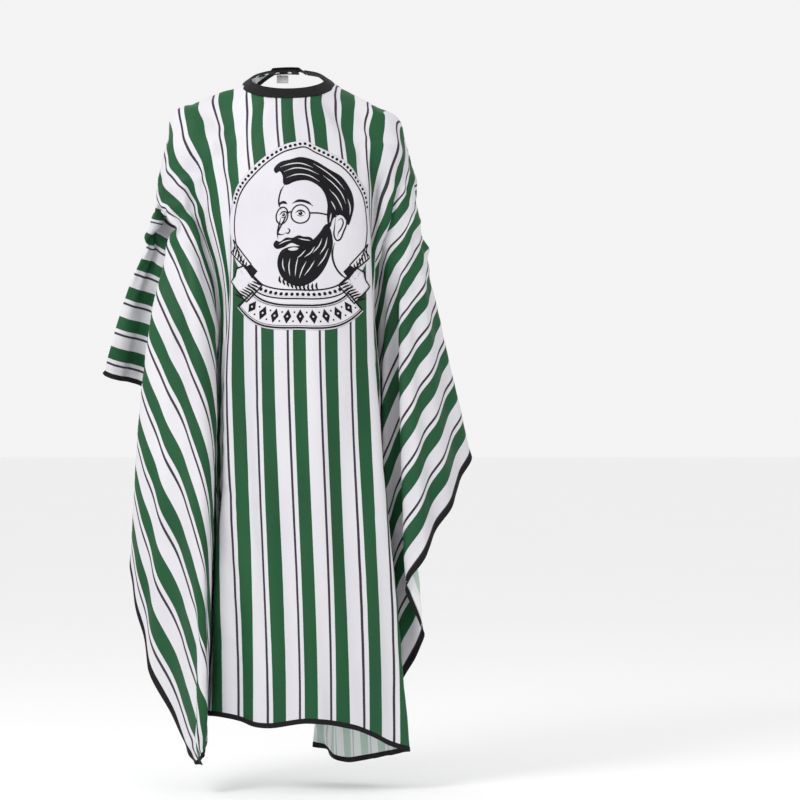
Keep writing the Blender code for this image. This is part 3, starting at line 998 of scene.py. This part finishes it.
def ink_look(name, colour, pale):
    """Screen print: the weave shows through, with a little uneven cover."""
    look = Look(name)
    spot = look.cut_place()
    cover = look.noise(spot, 1500.0, 2.0)
    cloud = look.noise(spot, 12.0, 2.0)
    tone = look.mix(look.range(cloud, 0.3, 0.7, 0.0, 0.5), colour, pale)
    look.into("Base Color", look.mix(look.range(cover, 0.62, 0.72, 0.0, 0.22), tone, pale))
    creased(look, spot, 0.25, 0.00005)
    look.into("Roughness", look.range(cloud, 0.3, 0.7, 0.42, 0.54))
    look.into("Specular IOR Level", 0.12)
    return look.material


RIBBON_AT, RIBBON_IN, RIBBON_OUT, RIBBON_HALF = (0.0, -29.0), 139.0, 185.0, 43.0


def ribbon_outline(grow=0.0):
    first, last = -90 - RIBBON_HALF, -90 + RIBBON_HALF
    outer = arc(RIBBON_OUT + grow, first, last, RIBBON_AT)
    inner = arc(RIBBON_IN - grow, last, first, RIBBON_AT)
    return np.concatenate([outer, inner])


# One tail of the ribbon, folded twice; the other mirrors it.
TAIL_END = ((141, -34), (98, -76), (103, -92), (112, -84), (146, -60), (134, -50))
TAIL_BACK = ((98, -76), (84, -90), (96, -104), (112, -84))
TAIL_FOLD = ((130, -90), (112, -80), (74, -118), (108, -152), (144, -118), (134, -106))

# The head, turned a little to the wearer's right
HEAD_AT = (8.0, 2.0)
HAIR = ((-62, 92), (-66, 102), (-54, 112), (-34, 115), (-14, 121), (12, 119), (40, 108), (68, 94), (90, 68),
        (97, 40), (92, 14), (86, 0), (80, 10), (72, 18), (62, 18), (54, 8), (50, -8), (45, -6), (42, 14),
        (42, 34), (36, 54), (24, 68), (2, 76), (-22, 72), (-38, 66), (-46, 70), (-48, 84), (-54, 94))
BEARD = ((45, -4), (52, -18), (55, -40), (50, -64), (40, -90), (26, -112), (8, -128), (-10, -134), (-28, -128),
         (-44, -112), (-52, -92), (-52, -74), (-45, -60), (-30, -55), (-12, -55), (4, -50), (18, -38),
         (30, -22), (38, -8))
MOUSTACHE = ((-24, -38), (-36, -36), (-48, -42), (-56, -38), (-61, -46), (-54, -55), (-40, -54), (-26, -48),
             (-10, -54), (6, -52), (16, -42), (22, -46), (12, -36), (-2, -36), (-12, -34))
LOWER_LIP = ((-32, -59), (-22, -57), (-12, -59), (-16, -63), (-26, -63))
EAR = ((60, 14), (70, 20), (80, 16), (82, 2), (76, -14), (70, -28), (62, -32), (57, -22), (58, -6))
EAR_INNER = ((64, 8), (71, 12), (75, 4), (71, -8), (66, -16), (64, -24))
FACE_LINE = ((-43, 68), (-50, 56), (-53, 42), (-52, 30), (-47, 20))
CHEEK_LINE = ((-47, 4), (-50, -8), (-53, -22), (-52, -36))
NOSE = ((-34, 16), (-40, 0), (-50, -18), (-52, -25), (-45, -29), (-36, -27))
NOSTRIL = ((-33, -18), (-29, -23), (-32, -28), (-37, -26))
NECK_BACK = ((58, -38), (54, -62), (60, -84), (74, -100), (92, -108))
BROWS = (((-26, 29), (-14, 34), (2, 33), (14, 27)), ((-53, 28), (-48, 33), (-42, 33), (-36, 29)))
EYES = ((-9, 9, 1.0), (-42, 9, 0.8))
LENSES = ((-9, 8, 18.0, 1.0), (-45, 8, 16.0, 0.72))
HAIR_STRANDS = (((-54, 102), (-34, 106), (-12, 108), (10, 104)), ((-46, 92), (-24, 98), (0, 98), (22, 92)),
                ((-40, 80), (-18, 86), (4, 86), (24, 78)), ((10, 112), (34, 102), (56, 88), (74, 70)),
                ((30, 92), (50, 80), (68, 62), (78, 42)), ((44, 66), (58, 54), (68, 38), (72, 28)),
                ((48, 44), (54, 36), (58, 28)), ((82, 52), (88, 36), (88, 20)), ((50, 20), (49, 8), (48, 0)))
BEARD_STRANDS = (((44, -30), (40, -48), (30, -66)), ((46, -52), (38, -72), (26, -90)),
                 ((34, -34), (28, -50), (16, -66)), ((20, -52), (12, -66), (0, -76)),
                 ((20, -80), (10, -98), (0, -112)), ((4, -84), (-4, -100), (-10, -118)),
                 ((-12, -76), (-16, -94), (-18, -114)), ((-28, -78), (-30, -94), (-28, -112)),
                 ((-42, -76), (-42, -90), (-38, -102)), ((2, -62), (-6, -72), (-14, -78)))
WAX_STRANDS = (((-26, -42), (-38, -43), (-50, -47)), ((-12, -40), (0, -42), (12, -42)))


def draw_print():
    white, ink, detail = Sheet(), Sheet(), Sheet()
    white.fill(crowned(153.0, 0, 358.5), 8.0)
    white.fill(ribbon_outline(3.0), 8.0)
    white.fill(np.concatenate([arc(172, -131, -49), arc(149, -49, -131)]), 8.0)
    ink.stroke(crowned(RING, -270, 90), 2.7, taper=False)
    for at in np.arange(16, 165, 3.7):
        ink.dot(crowned(RING + 7.2, at, at + 0.01, 0.01)[0], 3.0)
    for at in np.arange(-121.5, -57, 4.2):
        ink.dot(arc(RING + 8.5, at, at + 1)[0], 3.4)
    ink.stroke(arc(RING + 17, -132, -48), 2.6, taper=False)

    for grow, width in ((-1.0, 3.4), (-5.0, 1.0)):
        ink.stroke(looped(ribbon_outline(grow)), width, taper=False)
    for at in np.arange(-90 - RIBBON_HALF + 7, -90 + RIBBON_HALF - 6, 9.0):
        middle = arc(0.5 * (RIBBON_IN + RIBBON_OUT), at, at + 1, RIBBON_AT)[0]
        out = np.array([math.cos(math.radians(at)), math.sin(math.radians(at))])
        along = np.array([-out[1], out[0]])
        corners = [middle + out * 14, middle + along * 8.0, middle - out * 14, middle - along * 8.0]
        ink.fill(np.array(corners), 5.0)
        detail.dot(middle, 2.0)
        for rise in (-11, 11):
            ink.dot(middle + along * 12.7 + out * rise * 0.8, 1.8)
    for side in (-1, 1):
        for shape, dark in ((TAIL_END, False), (TAIL_FOLD, False), (TAIL_BACK, True)):
            points = np.array(shape, float) * (side, 1)
            if dark:
                ink.fill(points)
            else:
                white.fill(points, 6.0)
                ink.stroke(looped(points), 2.8, taper=False)
        for k in range(7):
            foot = np.array([102 + 5.6 * k, -79 + 5.9 * k])
            ink.stroke(np.array([foot, foot + (1.5, -6), foot + (4, -13 - k)]) * (side, 1), 3.4)
        for k in range(8):
            foot = np.array([76 + 4.6 * k, -119 - 4.4 * k])
            ink.stroke(np.array([foot, foot + (9, 5), foot + (19 + k, 9)]) * (side, 1), 3.4)

    ink.origin = detail.origin = HEAD_AT
    for outline in (HAIR, BEARD, MOUSTACHE):
        ink.fill(curved(outline), 6.0)
    for line, width in ((EAR, 3.0), (EAR_INNER, 2.6), (FACE_LINE, 3.0), (CHEEK_LINE, 3.0), (NOSE, 3.0),
                        (NOSTRIL, 2.6), (NECK_BACK, 3.8)):
        ink.stroke(curved(line, closed=line is EAR), width)
    for brow in BROWS:
        ink.stroke(curved(brow, closed=False), 5.0)
    for x, y, size in EYES:
        lid = ((x - 10 * size, y + 1), (x - 3 * size, y + 6), (x + 5 * size, y + 5), (x + 10 * size, y))
        ink.stroke(curved(lid, False), 2.6)
        ink.stroke(curved(((x - 7 * size, y - 3), (x, y - 5), (x + 7 * size, y - 3)), False), 1.4)
        ink.dot((x, y + 0.5), 3.9 * size)
        detail.dot((x - 1.2, y + 2.0), 1.1)
    for x, y, radius, narrow in LENSES:
        ink.stroke(arc(radius, 0, 360, (x, y), 8.0, narrow), 2.6, taper=False)
    ink.stroke(curved(((-34, 10), (-30, 13), (-26, 11)), False), 2.8)
    ink.stroke(curved(((9, 12), (30, 15), (60, 14)), False), 3.0, taper=False)
    for strand in HAIR_STRANDS + BEARD_STRANDS + WAX_STRANDS:
        detail.stroke(curved(strand, closed=False), 2.0)
    detail.fill(curved(LOWER_LIP), 5.0)
    for at in np.arange(0, 13):
        foot = np.array([-48 + 8.0 * at, -112 - 22 * math.sin(math.pi * (at + 0.5) / 13)])
        if at < 10:
            ink.stroke(np.array([foot + (0, 6), foot + (-1, -2), foot + (2, -9)]), 4.0)
    ground_look = ink_look("print_white", (0.63, 0.615, 0.655, 1), (0.70, 0.69, 0.72, 1))
    black_look = ink_look("print_ink", (0.005, 0.0045, 0.006, 1), (0.015, 0.014, 0.017, 1))
    pale_look = ink_look("print_pale", (0.62, 0.61, 0.64, 1), (0.70, 0.69, 0.72, 1))
    return (white.print("print_ground", PRINT_WHITE, ground_look), ink.print("print_ink", PRINT_INK, black_look),
            detail.print("print_detail", PRINT_DETAIL, pale_look))


print_layers = draw_print()

# Stage, camera and light
METRES_ACROSS = 1.60          # width of the view at the cape
DISTANCE = 7.0
VIEW_CENTRE = (0.2234, -0.635)    # x and z
LIT_POINT = (0.0, 0.0, -0.6)
FLOOR_HALF, FLOOR_BELOW = 40.0, 0.045

camera = add_object("camera", bpy.data.cameras.new("camera"))
put(camera.data, sensor_width=36.0, lens=36.0 * DISTANCE / METRES_ACROSS, clip_end=200.0)
put(camera, location=(VIEW_CENTRE[0], -DISTANCE, VIEW_CENTRE[1]), rotation_euler=(math.radians(90), 0, 0))
scene.camera = camera


def pale_floor():
    corners = ((-1, -1), (1, -1), (1, 1), (-1, 1))
    thing = new_mesh("floor", [(FLOOR_HALF * x, FLOOR_HALF * y, cad_low.z - FLOOR_BELOW) for x, y in corners],
                     [(0, 1, 2, 3)])
    look = Look("floor")
    look.into("Roughness", 0.9)
    spot = look.node("NewGeometry").outputs["Position"]
    look.into("Base Color", look.mix(look.noise(spot, 1.5), (0.94, 0.94, 0.94, 1), (0.96, 0.96, 0.96, 1)))
    thing.data.materials.append(look.material)


def lamp(name, place, size, watts):
    light = bpy.data.lights.new(name, "AREA")
    put(light, shape="RECTANGLE", size=size[0], size_y=size[1], energy=watts)
    turn = (Vector(LIT_POINT) - Vector(place)).to_track_quat("-Z", "Y").to_euler()
    put(add_object(name, light), location=place, rotation_euler=turn)


pale_floor()
lamp("key_light", (-1.9, -2.6, 1.5), (1.3, 1.3), 58)
lamp("fill_light", (2.6, -2.4, 0.2), (2.0, 2.4), 4)
lamp("top_light", (0.0, 0.6, 2.2), (2.0, 1.5), 6)
world = bpy.data.worlds.new("studio")
scene.world = world
world.use_nodes = True
background = world.node_tree.nodes["Background"]
background.inputs[0].default_value = (1.0, 1.0, 1.0, 1)
background.inputs[1].default_value = 0.90
scene.view_settings.view_transform = "Standard"
